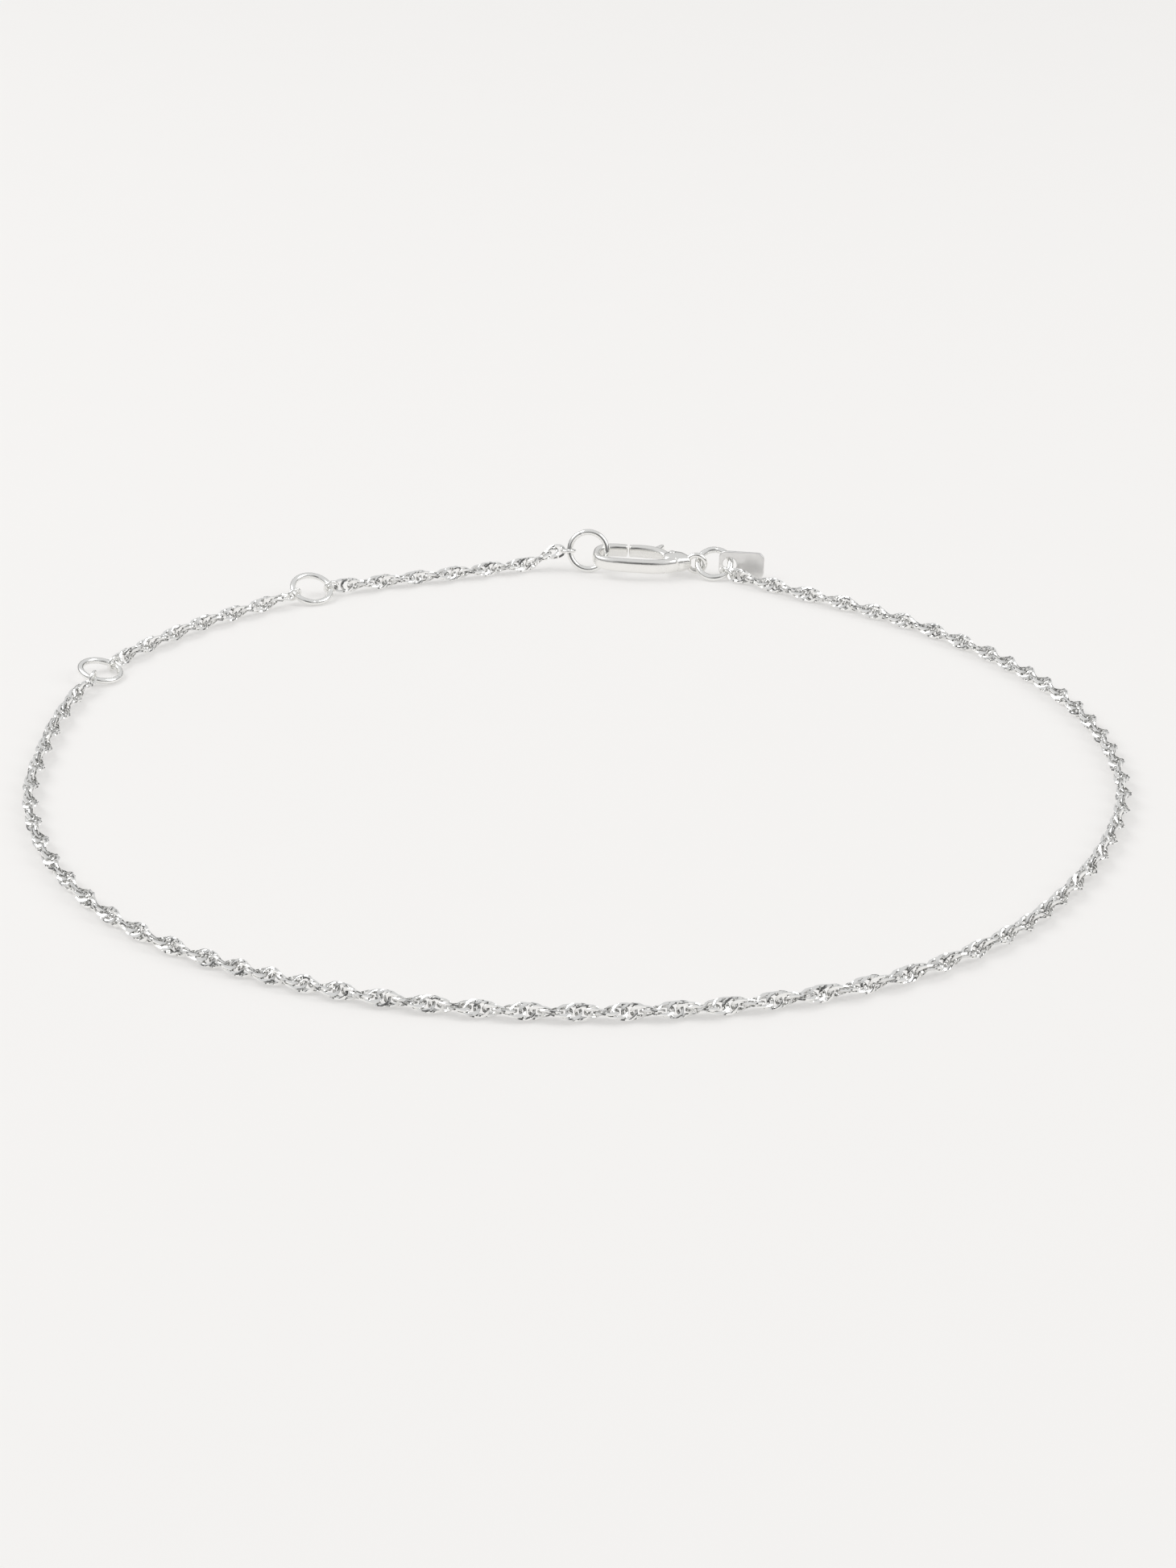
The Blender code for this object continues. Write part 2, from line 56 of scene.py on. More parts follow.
# %% [markdown]
# ## The camera
# The photo looks down at the table from the front, about a hand's width above it, with a long
# lens.
# The place and the lens come from the loop's outline: its near side is wider than its far side,
# and by how much tells the distance.

# %% Place the camera
CAMERA_PLACE = (0.136, -257.88, 117.4)
LOOK_DOWN = math.radians(24.845)
LOOK_RIGHT = math.radians(0.160)
LENS = 79.9
SENSOR = 36.0
NEAREST_SEEN = 10.0

view = bpy.data.cameras.new("photo_camera")
view.sensor_fit = "VERTICAL"
view.sensor_height = SENSOR
view.lens = LENS
view.clip_start = NEAREST_SEEN * MM
camera = bpy.data.objects.new("photo_camera", view)
camera.location = np.array(CAMERA_PLACE) * MM
camera.rotation_euler = (math.pi / 2 - LOOK_DOWN, 0, -LOOK_RIGHT)
bpy.context.collection.objects.link(camera)
bpy.context.scene.camera = camera
VIEW_DIRECTION = np.array([math.sin(LOOK_RIGHT) * math.cos(LOOK_DOWN),
                           math.cos(LOOK_RIGHT) * math.cos(LOOK_DOWN), -math.sin(LOOK_DOWN)])
print("camera", CAMERA_PLACE, "mm, looking down", round(math.degrees(LOOK_DOWN), 1), "degrees")

# %% [markdown]
# ## Shader sums in plain Python
# A finish is a small network of nodes. Adding them one by one hides what they mean, so a value
# in the network is wrapped in a class that knows how to add and multiply. Then a finish can be
# written as a formula, and one method makes every other kind of node.

# %% A small shader kit
class Value:
    """One output in a tree of nodes, which can be added and multiplied."""

    def __init__(self, network, socket):
        self.network = network
        self.socket = socket

    def math(self, operation, other):
        return self.network.node("ShaderNodeMath", {"operation": operation}, {0: self, 1: other})

    def __add__(self, other):
        return self.math("ADD", other)

    def __mul__(self, other):
        return self.math("MULTIPLY", other)


class Network:
    """A node tree and the one method that adds a node to it."""

    def __init__(self, tree):
        self.tree = tree

    def node(self, kind, settings=None, values=None, output=0):
        """Add a node, fill or connect its inputs, and return one of its outputs."""
        made = self.tree.nodes.new(kind)
        for key, setting in (settings or {}).items():
            setattr(made, key, setting)
        self.fill(made, values or {})
        return Value(self, made.outputs[output])

    def fill(self, made, values):
        """Set a node's inputs: a value of the network by a link, anything else directly."""
        for key, value in values.items():
            if isinstance(value, Value):
                self.tree.links.new(value.socket, made.inputs[key])
            else:
                made.inputs[key].default_value = value

    def mix(self, share, first, second):
        """A colour between two colours."""
        return self.node("ShaderNodeMix", {"data_type": "RGBA"},
                         {"Factor": share, "A": (*first, 1), "B": (*second, 1)}, output="Result")


class Finish(Network):
    """A material whose sums end in the sockets of its one shader."""

    def __init__(self, name):
        self.material = bpy.data.materials.new(name)
        self.material.use_nodes = True
        super().__init__(self.material.node_tree)
        self.place = self.node("ShaderNodeTexCoord", output="Object")

    def noise(self, size, detail):
        """Noise whose lumps have a size in millimetres."""
        return self.node("ShaderNodeTexNoise",
                         values={"Vector": self.place, "Scale": 1 / (size * MM), "Detail": detail})

    def surface(self, **values):
        shader = self.tree.nodes["Principled BSDF"]
        self.fill(shader, {key.replace("_", " "): value for key, value in values.items()})
        return self.material


# %% [markdown]
# ## Polished silver
# Polished silver has almost no colour of its own: it shows the room. What makes it look real is
# that the polish isn't perfect. Its reflection gets a little softer in places, the colour turns a
# little warmer where the metal has dulled, and the surface waves very slightly after casting and
# tumbling. Each of these is a slow or a fast noise in the object's own coordinates. Deep between
# a chain's links little light arrives, so shade is painted there: the links' colour is darker and
# their reflection softer.

# %% Silver finishes
# The name under which a mesh keeps how much painted shade each point gets
PAINTED_SHADE = "painted_shade"
PATCH_SIZE = 2.9
PATCH_SHARE = 0.6
GRAIN_SIZE = 0.38


def silver(name, bright, dull_and_shaded, roughest, wave_size, wave_depth, hollow_shade=None):
    """A metal whose colour runs from bright to dull and whose roughness stays under roughest.

    One noise is as broad as a ring, for the dulling, and one is as fine as the wire, for the
    polish. The surface rises and falls by wave_depth over wave_size, both in millimetres. Where a
    mesh holds painted shade for each point, hollows is how much darker that painted shade makes
    the deepest points between the wires.
    """
    finish = Finish(name)
    patches = finish.noise(PATCH_SIZE, detail=2.0)
    grain = finish.noise(GRAIN_SIZE, detail=3.0)
    dulling_and_shade = patches * PATCH_SHARE + grain * (1 - PATCH_SHARE)
    # Painted shade: where the mesh holds it, the colour is pulled towards the darker one and the roughness
    # rises
    if hollow_shade:
        painted_shade = finish.node("ShaderNodeAttribute", {"attribute_name": PAINTED_SHADE}, output="Fac")
        dulling_and_shade = dulling_and_shade * (1 - hollow_shade) + painted_shade * hollow_shade
    waves = finish.noise(wave_size, detail=2.0)
    normal = finish.node("ShaderNodeBump",
                         values={"Height": waves, "Strength": 1.0, "Distance": wave_depth * MM})
    return finish.surface(Base_Color=finish.mix(dulling_and_shade, bright, dull_and_shaded), Metallic=1.0,
                          Roughness=dulling_and_shade * roughest, Normal=normal)


RING_SILVER = silver("ring_silver", (0.96, 0.96, 0.95), (0.88, 0.88, 0.86),
                     roughest=0.40, wave_size=0.8, wave_depth=0.006)
CLASP_SILVER = silver("clasp_silver", (0.96, 0.96, 0.94), (0.88, 0.87, 0.85),
                      roughest=0.44, wave_size=1.2, wave_depth=0.010)
TAG_SILVER = silver("tag_silver", (0.90, 0.895, 0.885), (0.82, 0.815, 0.805),
                    roughest=0.66, wave_size=1.0, wave_depth=0.003)
# The links' dark second colour is mostly painted shade, laid deep between the wires
CHAIN_SILVER = silver("link_silver", (0.98, 0.98, 0.97), (0.40, 0.40, 0.39),
                      roughest=0.20, wave_size=0.3, wave_depth=0.020, hollow_shade=0.85)
print("finishes", [m.name for m in (RING_SILVER, CLASP_SILVER, TAG_SILVER, CHAIN_SILVER)])

# %% [markdown]
# ## From a grid of points to a mesh
# Each piece below is a surface: a function of two parameters, worked out for a whole grid at
# once. A ring closes in both directions. A tube closes in one and gets a cap at each end.

# %% Grids into meshes
BODY = "anklet"


def grid_quads(rows, columns, wrap_rows):
    """Corners of the quads between neighbouring points. The columns always close."""
    starts = np.arange(rows if wrap_rows else rows - 1)
    i, j = np.meshgrid(starts, np.arange(columns), indexing="ij")
    below = (i + 1) % rows
    beside = (j + 1) % columns
    quads = np.stack([i * columns + j, i * columns + beside, below * columns + beside,
                      below * columns + j], axis=-1)
    return quads.reshape(-1, 4)


def mesh_object(name, points, faces):
    """A mesh object whose faces all look outwards."""
    mesh = bpy.data.meshes.new(name)
    mesh.from_pydata(points.reshape(-1, 3).tolist(), [], faces)
    shape = bmesh.new()
    shape.from_mesh(mesh)
    bmesh.ops.recalc_face_normals(shape, faces=shape.faces)
    shape.to_mesh(mesh)
    shape.free()
    made = bpy.data.objects.new(name, mesh)
    bpy.context.collection.objects.link(made)
    return made


def hand_over(made, material, body, node, sharp=None):
    """Give a piece its finish, hang it on its body, and hide the solid that it stands for.

    Edges that turn by more than sharp, in degrees, stay crisp, and all the rest is smooth.
    """
    mesh = made.data
    mesh.materials.clear()
    mesh.materials.append(material)
    mesh.shade_smooth()
    if sharp is not None:
        mesh.set_sharp_from_angle(angle=math.radians(sharp))
    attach(made, body)
    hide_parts(node)
    print(made.name, len(mesh.polygons), "faces")


def piece(name, points, faces, material, node, sharp=None):
    """Make a piece of the anklet's own body, of points in millimetres."""
    made = mesh_object(name, points * MM, faces)
    hand_over(made, material, BODY, node, sharp)
    return made


# %% [markdown]
# ## Where each ring lies
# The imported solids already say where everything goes. The middle of a ring is the middle of the
# box round its points, and its axis is the direction in which they spread least, which singular
# values give without any measuring by hand.

# %% Read rings from the frame
def mesh_points(mesh):
    """The points of a mesh, a row for each."""
    flat = np.empty(3 * len(mesh.vertices))
    mesh.vertices.foreach_get("co", flat)
    return flat.reshape(-1, 3)


def node_points(node):
    """The different points of a solid, in millimetres, to a hundred-thousandth."""
    return np.unique(np.round(mesh_points(frame["nodes"][node].data) / MM, 5), axis=0)


def ring_place(node):
    """Middle and axis of a ring: the axis is where its points spread least."""
    points = node_points(node)
    middle = (points.max(axis=0) + points.min(axis=0)) / 2
    axis = np.linalg.svd(points - points.mean(axis=0), full_matrices=False)[2][2]
    return middle, axis * (1 if axis[2] >= 0 else -1)


for ring_name in ("end_ring", "extender_ring_2", "extender_ring_1", "jump_ring"):
    print(ring_name, *(np.round(v, 3) for v in ring_place(ring_name)))

# %% [markdown]
# ## Rings
# A ring is bent from round wire and its ends meet in a joint. On the extender rings the joint is
# soldered and only a faint dent shows. The jump ring is closed with pliers, so a fine line stays.
# The surface is a circle of wire carried round a larger circle. The wire gets thinner at the
# joint, and the rows are crowded there so that the dent is smooth. A joint is given by how deep
# its dent is, as a share of the wire's radius, and how broad, in millimetres.

# %% Make the rings
RING_OUTER = 4.0
RING_WIRE = 0.55
JUMP_RING_OUTER = 3.6
JUMP_RING_WIRE = 0.6
END_LINK_OUTER = 1.5
END_LINK_WIRE = 0.28
GAP = 0.05
SOLDERED_JOINT = (0.10, 0.12)
CLOSED_JOINT = (0.22, 0.05)
END_LINK_JOINT = (0.12, 0.06)
JOINT_CROWDING = 0.9
RING_GRID = (120, 20)
END_LINK_GRID = (64, 14)


def across_axis(axis, towards):
    """Two unit directions square to an axis, the first as close as can be to towards."""
    first = towards - axis * (towards @ axis)
    first = first / np.linalg.norm(first)
    return first, np.cross(axis, first)


def wire_ring(middle, axis, outer, wire, joint, joint_way, rows, columns):
    """Points of a ring of round wire whose joint lies on the side of joint_way.

    Middle + (R + r cos v) along the turn u + r sin v along the axis. The wire's radius r is less
    by a bell-shaped dent where u is zero, and u is crowded there by taking away a sine.
    """
    joint_depth, joint_width = joint
    first, second = across_axis(axis, np.array(joint_way, float))
    t = np.linspace(0, 2 * np.pi, rows, endpoint=False)[:, None]
    v = np.linspace(0, 2 * np.pi, columns, endpoint=False)[None, :]
    turn = t - JOINT_CROWDING * np.sin(t)
    from_joint = np.minimum(turn, 2 * np.pi - turn) * (outer - wire) / 2
    radius = wire / 2 * (1 - joint_depth * np.exp(-(from_joint / joint_width) ** 2))
    reach = (outer - wire) / 2 + radius * np.cos(v)
    outwards = np.cos(turn)[..., None] * first + np.sin(turn)[..., None] * second
    return middle + reach[..., None] * outwards + (radius * np.sin(v))[..., None] * axis


def make_ring(node, outer, wire, joint, joint_way, grid=RING_GRID):
    """Dress one ring's solid in round wire."""
    points = wire_ring(*ring_place(node), outer, wire, joint, joint_way, *grid)
    quads = grid_quads(*grid, True).tolist()
    piece(node + "_wire", points, quads, RING_SILVER, node)


make_ring("end_ring", RING_OUTER, RING_WIRE, SOLDERED_JOINT, (-0.4, 0, 1))
make_ring("extender_ring_2", RING_OUTER, RING_WIRE, SOLDERED_JOINT, (0.3, -1, 0))
make_ring("extender_ring_1", RING_OUTER, RING_WIRE, SOLDERED_JOINT, (1, -0.4, 0))
make_ring("jump_ring", JUMP_RING_OUTER, JUMP_RING_WIRE, CLOSED_JOINT, (0.2, 1, 0.2))

END_LINKS = ["end_link_main_clasp", "end_link_main_ring", "end_link_a_start", "end_link_a_end",
             "end_link_b_start", "end_link_b_end"]
for link_name in END_LINKS:
    make_ring(link_name, END_LINK_OUTER, END_LINK_WIRE, END_LINK_JOINT, (0, 0.3, 1),
              grid=END_LINK_GRID)

# %% [markdown]
# ## The clasp
# A lobster clasp is cast in one piece: a hook, a block that holds the pivot, and an eye. Its
# surfaces run softly into each other, because the wax that it was cast from was one soft lump.
# So three swept surfaces are laid into each other, and a voxel remesh melts them into one skin,
# which is then smoothed. Only after that are the lever's slot and the pin's hole cut, so that
# their edges stay crisp. The clasp is worked out in its own directions and then moved to its
# place, which the lever's joint in the frame gives.

# %% The clasp's own directions
CLASP_LENGTH = 10.8
CLASP_WIDTH = 4.1
CLASP_THICKNESS = 1.6
CLASP_HEADING = math.radians(-6)
PIVOT = np.array([0.690 * CLASP_LENGTH, 0.22 * CLASP_WIDTH / 2, 0.0])

hinge = frame["joints"][0]
clasp_up = np.array(hinge["axis"]) / np.linalg.norm(hinge["axis"])
level = np.array([-math.sin(CLASP_HEADING), math.cos(CLASP_HEADING), 0.0])
clasp_along = np.cross(level, clasp_up)
clasp_along /= np.linalg.norm(clasp_along)
CLASP_TURN = np.stack([clasp_along, np.cross(clasp_up, clasp_along), clasp_up])
CLASP_NOSE = np.array(hinge["pos_m"]) / MM - PIVOT @ CLASP_TURN
print("clasp from", np.round(CLASP_NOSE, 2), "to", np.round(CLASP_NOSE + CLASP_LENGTH * clasp_along, 2))

# %% [markdown]
# Each part of the clasp is a rounded section carried along a path. The tables hold, for a few
# places, x as a share of the clasp's length, y and the breadth as shares of half its width, and
# the thickness as a share of its own full thickness.

# %% Sections carried along a path
HOOK_SECTIONS = [
    (0.750, -0.20, 0.50, 0.84), (0.670, -0.52, 0.46, 0.84), (0.560, -0.72, 0.42, 0.82),
    (0.430, -0.79, 0.40, 0.80), (0.300, -0.80, 0.39, 0.80), (0.190, -0.77, 0.38, 0.78),
    (0.100, -0.63, 0.37, 0.75), (0.056, -0.34, 0.36, 0.73), (0.048, 0.00, 0.36, 0.72),
    (0.056, 0.34, 0.36, 0.73), (0.100, 0.63, 0.37, 0.75), (0.190, 0.77, 0.36, 0.76),
    (0.292, 0.79, 0.34, 0.75),
]
BLOCK_SECTIONS = [
    (0.640, -0.34, 0.40, 0.55), (0.665, -0.22, 0.88, 0.88), (0.700, -0.06, 1.20, 0.98),
    (0.745, 0.00, 1.16, 1.00), (0.790, 0.00, 0.88, 0.94), (0.825, 0.00, 0.58, 0.80),
    (0.850, 0.00, 0.38, 0.56),
]
SECTION_POWER = 0.72
SECTION_SIDES = 32
SECTION_STEPS = 14
DOME_STEPS = 8
DOMES_PER_BREADTH = 6
DOME_TIP = 0.02


def smooth_path(points, steps):
    """Catmull-Rom curve: in each span, a cubic whose ends head along the neighbours' chord."""
    p = np.vstack([2 * points[0] - points[1], points, 2 * points[-1] - points[-2]])
    a, b, c, d = (p[k:len(p) - 3 + k, None, :] for k in range(4))
    t = np.linspace(0, 1, steps, endpoint=False)[None, :, None]
    curve = 0.5 * (2 * b + (c - a) * t + (2 * a - 5 * b + 4 * c - d) * t**2
                   + (3 * b - a - 3 * c + d) * t**3)
    return np.vstack([curve.reshape(-1, points.shape[1]), points[-1:]])


def closed_tube(rows, sides):
    """Faces of a tube whose two ends are closed by a flat cap each."""
    caps = [list(range(sides)), list(range((rows - 1) * sides, rows * sides))]
    return grid_quads(rows, sides, False).tolist() + caps


def bent(value, power):
    """A sine or cosine raised to a power that keeps its sign: under one, it squares a circle."""
    return np.sign(value) * np.abs(value) ** power


def section_sweep(rows, thickness):
    """Points and faces of rounded sections along a path in the clasp's own plane.

    A section is (breadth / 2 cos v, thickness / 2 sin v) with both powers bent, standing square to
    the path. The ends are closed by a dome: the path goes on by a sixth of the breadth while the
    section shrinks as a quarter of a circle does.
    """
    half = CLASP_WIDTH / 2
    path = smooth_path(np.array(rows) * (CLASP_LENGTH, half, half, thickness), SECTION_STEPS)
    direction = np.gradient(path[:, :2], axis=0)
    direction /= np.linalg.norm(direction, axis=1, keepdims=True)
    dome = np.linspace(0, np.pi / 2, DOME_STEPS)[1:]
    shrink = np.maximum(np.cos(dome), DOME_TIP)[:, None]
    ends = []
    for row, way, sign in ((path[0], direction[0], -1), (path[-1], direction[-1], 1)):
        centres = row[:2] + sign * way * np.sin(dome)[:, None] * row[2] / DOMES_PER_BREADTH
        ends.append((np.hstack([centres, row[2:] * shrink]), np.repeat(way[None], len(dome), axis=0)))
    path = np.vstack([ends[0][0][::-1], path, ends[1][0]])
    direction = np.vstack([ends[0][1], direction, ends[1][1]])
    v = np.linspace(0, 2 * np.pi, SECTION_SIDES, endpoint=False)
    across = path[:, 2:3] / 2 * bent(np.cos(v), SECTION_POWER)
    up = path[:, 3:4] / 2 * bent(np.sin(v), SECTION_POWER)
    points = np.stack([path[:, 0:1] - direction[:, 1:2] * across,
                       path[:, 1:2] + direction[:, 0:1] * across, up], axis=-1)
    return points.reshape(-1, 3), closed_tube(len(path), SECTION_SIDES)


def ring_surface(middle, first, second, axis, outer, wire, rows=64, columns=24):
    """Points and faces of a plain ring: a circle of wire carried round a larger circle."""
    u = np.linspace(0, 2 * np.pi, rows, endpoint=False)[:, None]
    v = np.linspace(0, 2 * np.pi, columns, endpoint=False)[None, :]
    reach = (outer - wire) / 2 + wire / 2 * np.cos(v)
    rise = wire / 2 * np.sin(v) + 0 * u
    points = (middle + (reach * np.cos(u))[..., None] * first + (reach * np.sin(u))[..., None] * second
              + rise[..., None] * axis)
    return points.reshape(-1, 3), grid_quads(rows, columns, True).tolist()


def plug(middle, radius, height, sides=64):
    """Points and faces of a round plug whose axis is the clasp's own z."""
    turn = np.linspace(0, 2 * np.pi, sides, endpoint=False)
    circle = np.stack([radius * np.cos(turn), radius * np.sin(turn)], axis=1)
    points = np.vstack([np.column_stack([circle, np.full(sides, z)])
                        for z in (-height / 2, height / 2)])
    return points + middle, closed_tube(2, sides)


# %% [markdown]
# The remesh turns whatever lies inside the skin of the joined surfaces into one body. It works on
# a mesh in millimetres, because its voxels can't be as small as the clasp needs in metres.

# %% Melt, smooth and cut
VOXEL = 0.045
MELT_STEPS = 6
CRISP_ANGLE = 35


def plain_mesh(name, surfaces):
    """One mesh object, in millimetres, of several closed surfaces."""
    points, faces, start = [], [], 0
    for surface_points, surface_faces in surfaces:
        points.append(surface_points)
        faces += [[start + k for k in face] for face in surface_faces]
        start += len(surface_points)
    return mesh_object(name, np.vstack(points), faces)


def apply_modifiers(made):
    """Keep what the modifiers make of a mesh, and drop the modifiers."""
    graph = bpy.context.evaluated_depsgraph_get()
    result = bpy.data.meshes.new_from_object(made.evaluated_get(graph))
    made.modifiers.clear()
    made.data = result


def melted(name, surfaces):
    """Several surfaces as one soft casting."""
    made = plain_mesh(name, surfaces)
    melt = made.modifiers.new("melt", "REMESH")
    melt.mode = "VOXEL"
    melt.voxel_size = VOXEL
    smooth = made.modifiers.new("smooth", "SMOOTH")
    smooth.iterations = MELT_STEPS
    apply_modifiers(made)
    return made


def cut(made, surfaces):
    """Cut surfaces out of a body, one after another."""
    for surface in surfaces:
        tool = plain_mesh("tool", [surface])
        step = made.modifiers.new("cut", "BOOLEAN")
        step.operation = "DIFFERENCE"
        step.solver = "EXACT"
        step.object = tool
        apply_modifiers(made)
        bpy.data.objects.remove(tool, do_unlink=True)


def clasp_piece(made, body, node):
    """Turn a body from the clasp's own directions to its place, give it its finish and body, and hide its
    solid.
    """
    mesh = made.data
    mesh.name = made.name
    placed = (mesh_points(mesh) @ CLASP_TURN + CLASP_NOSE) * MM
    mesh.vertices.foreach_set("co", placed.ravel())
    hand_over(made, CLASP_SILVER, body, node, sharp=CRISP_ANGLE)


# %% [markdown]
# The slot lets the lever turn between two cheeks, and both cheeks hold the pin. The clearances
# are those of the solids.

# %% Make the clasp's body
EYE_OUTER = 2.1
EYE_WIRE = 0.5
LEVER_THICKNESS = 0.7
LEVER_ROOT_RADIUS = 0.7
PIN_RADIUS = 0.28
PIN_PROUD = 0.05
DRILL_LENGTH = 3 * CLASP_THICKNESS
SLOT_FACES = [[0, 1, 3, 2], [4, 6, 7, 5], [0, 4, 5, 1], [2, 3, 7, 6], [0, 2, 6, 4], [1, 5, 7, 3]]

x_way, y_way, z_way = np.eye(3)
hook = section_sweep(HOOK_SECTIONS, CLASP_THICKNESS)
block = section_sweep(BLOCK_SECTIONS, CLASP_THICKNESS)
eye_middle = np.array([CLASP_LENGTH - EYE_OUTER / 2, 0, 0])
eye = ring_surface(eye_middle, x_way, z_way, y_way, EYE_OUTER, EYE_WIRE)
clasp = melted("clasp_casting", [hook, block, eye])

slot_reach = LEVER_ROOT_RADIUS + GAP
slot_low = np.array([PIVOT[0] - CLASP_WIDTH / 2, PIVOT[1] - slot_reach, -LEVER_THICKNESS / 2 - GAP])
slot_high = np.array([PIVOT[0] + slot_reach, CLASP_WIDTH, LEVER_THICKNESS / 2 + GAP])
corner = np.array([[(k >> 2) & 1, (k >> 1) & 1, k & 1] for k in range(8)])
slot_tool = (slot_low + corner * (slot_high - slot_low), SLOT_FACES)
cut(clasp, [slot_tool, plug(PIVOT, PIN_RADIUS + GAP, DRILL_LENGTH)])
clasp_piece(clasp, BODY, "clasp_body")

# %% [markdown]
# ## The lever and its pin
# The lever closes the hook. It is as thick as the hook where the fingers feel it, and thinner in
# the slot. A small tab stands out, for the thumb. It rides on its own body, so it swings about
# the pin when the joint moves. The pin's two heads are slightly domed, as riveting leaves them.

# %% Make the lever and the pin
LEVER_SECTIONS = [
    (0.690, 0.22, 0.44, 1.00), (0.635, 0.55, 0.42, 1.00), (0.570, 0.74, 0.38, 1.48),
    (0.480, 0.82, 0.36, 1.70), (0.390, 0.84, 0.35, 1.70), (0.322, 0.79, 0.33, 1.66),
]
TAB_SECTIONS = [(0.530, 0.80, 0.30, 1.20), (0.565, 1.06, 0.28, 1.30), (0.592, 1.32, 0.20, 1.20)]
LEVER_DRILL_LENGTH = 3 * LEVER_THICKNESS
RIVET_DOME = 0.10
RIVET_TIP = 0.03

lever = melted("clasp_thumb_lever", [
    section_sweep(LEVER_SECTIONS, LEVER_THICKNESS), section_sweep(TAB_SECTIONS, LEVER_THICKNESS),
    plug(PIVOT, LEVER_ROOT_RADIUS, LEVER_THICKNESS)])
cut(lever, [plug(PIVOT, PIN_RADIUS + GAP, LEVER_DRILL_LENGTH)])
clasp_piece(lever, "lever", "clasp_lever")


def rivet(radius, height, dome, rows=14, sides=48):
    """A pin with domed ends: each end follows a quarter of an ellipse that is dome high."""
    q = np.linspace(0, np.pi / 2, rows)
    reach = radius * np.maximum(np.concatenate([np.sin(q), np.cos(q)]), RIVET_TIP)
    rise = np.concatenate([-height / 2 + dome * (1 - np.cos(q)),
                           height / 2 - dome * (1 - np.sin(q))])
    turn = np.linspace(0, 2 * np.pi, sides, endpoint=False)
    points = np.stack([reach[:, None] * np.cos(turn), reach[:, None] * np.sin(turn),
                       rise[:, None] + 0 * turn], axis=-1).reshape(-1, 3)
    return points + PIVOT, closed_tube(2 * rows, sides)


pin_points, pin_faces = rivet(PIN_RADIUS, CLASP_THICKNESS + 2 * PIN_PROUD, RIVET_DOME)
pin = mesh_object("clasp_rivet", pin_points, pin_faces)
clasp_piece(pin, BODY, "clasp_pin")

# %% [markdown]
# ## The tag
# The tag is a small plate, stamped from sheet and tumbled until its edges are round. Its finish
# is satin, not mirror-bright. The surface has two parameters: one goes round the plate, and one
# goes from the hole over the front face to the outer edge, and back over the other face. The
# solid's own points say where the plate stands: they spread most along its length and least
# through its thickness.

# %% Make the tag
TAG_LENGTH = 4.2
TAG_HEIGHT = 2.5
TAG_THICKNESS = 0.3
TAG_CORNER = 0.65
TAG_RIM = 0.35
TAG_HOLE_RADIUS = 0.65
TAG_ROUNDING = 0.09
FLAT_START = 0.02
TAG_CRISP_ANGLE = 50


def rounded_outline(length, height, corner, shift, arc_steps=9, side_steps=18):
    """A rectangle with round corners, point by point, whose middle lies at shift on the x axis."""
    steps = np.linspace(0, 1, arc_steps + 1)
    loop = []
    for quarter in range(4):
        turn = np.pi / 2 * (quarter + steps)
        middle = np.array([(length / 2 - corner) * (1, -1, -1, 1)[quarter],
                           (height / 2 - corner) * (1, 1, -1, -1)[quarter]])
        loop.append(middle + corner * np.stack([np.cos(turn), np.sin(turn)], axis=1))
    filled = []
    for k in range(4):
        start, finish = loop[k][-1], loop[(k + 1) % 4][0]
        between = np.linspace(0, 1, side_steps + 1)[1:-1, None]
        filled += [loop[k], start + (finish - start) * between]
    return np.vstack(filled) + np.array([shift, 0])


def plate_with_hole(outline, hole, thickness, rounding, arc_steps=5):
    """Points of a plate with a round hole at its origin.

    Each ray from the origin meets the hole's edge and the outline, a length L apart. The section
    along that ray is a rectangle L by thickness whose four corners are rounded. A point of it lies
    at a + b L from the hole's edge, and at z, where b is 0 near the hole and 1 near the outline.
    One more row at FLAT_START past each rounding keeps the light on the flat faces even.
    """
    turn = np.linspace(0, np.pi / 2, arc_steps)
    bow = rounding * (1 - np.cos(turn))
    side = thickness / 2 - rounding + rounding * np.sin(turn)
    ease_in = np.array([rounding + FLAT_START])
    top = np.array([thickness / 2])
    a = np.concatenate([bow, ease_in, -ease_in, -bow[::-1]])
    b = np.concatenate([np.zeros(arc_steps + 1), np.ones(arc_steps + 1)])
    z = np.concatenate([side, top, top, side[::-1]])
    a, b = (np.concatenate([half, half[::-1]]) for half in (a, b))
    z = np.concatenate([z, -z[::-1]])
    far = np.linalg.norm(outline, axis=1, keepdims=True)
    way = outline / far
    reach = hole + a + b * (far - hole)
    return np.stack([way[:, 0:1] * reach, way[:, 1:2] * reach, z + 0 * reach], axis=-1)


tag_points = node_points("tag")
tag_middle = (tag_points.max(axis=0) + tag_points.min(axis=0)) / 2
spread = np.linalg.svd(tag_points - tag_points.mean(axis=0), full_matrices=False)[2]
tag_along = spread[0] * np.sign(spread[0][0])
tag_through = spread[2] * -np.sign(spread[2][1])
tag_up = np.cross(tag_through, tag_along)
hole_from_middle = -(TAG_LENGTH / 2 - TAG_HOLE_RADIUS - TAG_RIM)
tag_origin = tag_middle + tag_along * hole_from_middle
outline = rounded_outline(TAG_LENGTH, TAG_HEIGHT, TAG_CORNER, -hole_from_middle)
plate = plate_with_hole(outline, TAG_HOLE_RADIUS, TAG_THICKNESS, TAG_ROUNDING)
plate_points = tag_origin + plate @ np.stack([tag_along, tag_up, tag_through])
plate_quads = grid_quads(len(plate), plate.shape[1], True).tolist()
piece("tag_plate", plate_points, plate_quads, TAG_SILVER, "tag", sharp=TAG_CRISP_ANGLE)
print("tag leans", round(math.degrees(math.asin(tag_up[2])), 1), "degrees")
